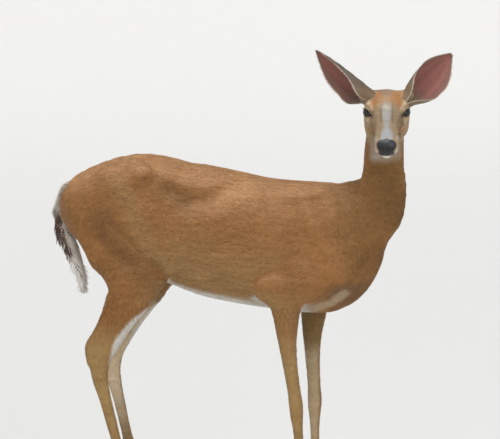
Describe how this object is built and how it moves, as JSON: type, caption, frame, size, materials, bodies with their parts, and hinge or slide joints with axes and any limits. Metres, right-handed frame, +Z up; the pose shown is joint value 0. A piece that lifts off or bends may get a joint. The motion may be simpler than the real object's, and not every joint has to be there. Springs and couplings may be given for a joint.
{
  "type": "white-tailed deer",
  "caption": "Life-size standing white-tailed doe in summer coat, body in profile, head turned to face her right side, ears spread, tail hanging.",
  "frame": {"origin": "middle of the model's footprint box, on the floor that the hooves stand on", "axes": "+X the way the body points, +Y to the doe's left, +Z up from the floor"},
  "size_m": [1.1272, 0.3894, 1.2311],
  "materials": {
    "coat": "short reddish-brown summer hair over hide, white below",
    "ear": "thin skin, pink-mauve inside and grey-brown behind",
    "horn": "dark smooth hoof horn",
    "eye": "wet, nearly black, deep brown iris"
  },
  "bodies": {
    "root": {"belly": "coat", "chest": "coat", "ear_left": "ear", "ear_right": "ear", "eye_left": "eye", "eye_right": "eye", "fore_left_cannon": "coat", "fore_left_dewclaw_inner": "horn", "fore_left_dewclaw_outer": "horn", "fore_left_forearm": "coat", "fore_left_hoof_inner": "horn", "fore_left_hoof_outer": "horn", "fore_left_pastern": "coat", "fore_right_cannon": "coat", "fore_right_dewclaw_inner": "horn", "fore_right_dewclaw_outer": "horn", "fore_right_forearm": "coat", "fore_right_hoof_inner": "horn", "fore_right_hoof_outer": "horn", "fore_right_pastern": "coat", "head": "coat", "hind_left_cannon": "coat", "hind_left_dewclaw_inner": "horn", "hind_left_dewclaw_outer": "horn", "hind_left_hoof_inner": "horn", "hind_left_hoof_outer": "horn", "hind_left_pastern": "coat", "hind_left_shank": "coat", "hind_right_cannon": "coat", "hind_right_dewclaw_inner": "horn", "hind_right_dewclaw_outer": "horn", "hind_right_hoof_inner": "horn", "hind_right_hoof_outer": "horn", "hind_right_pastern": "coat", "hind_right_shank": "coat", "neck": "coat", "rump": "coat", "tail": "coat"}
  },
  "joints": []
}
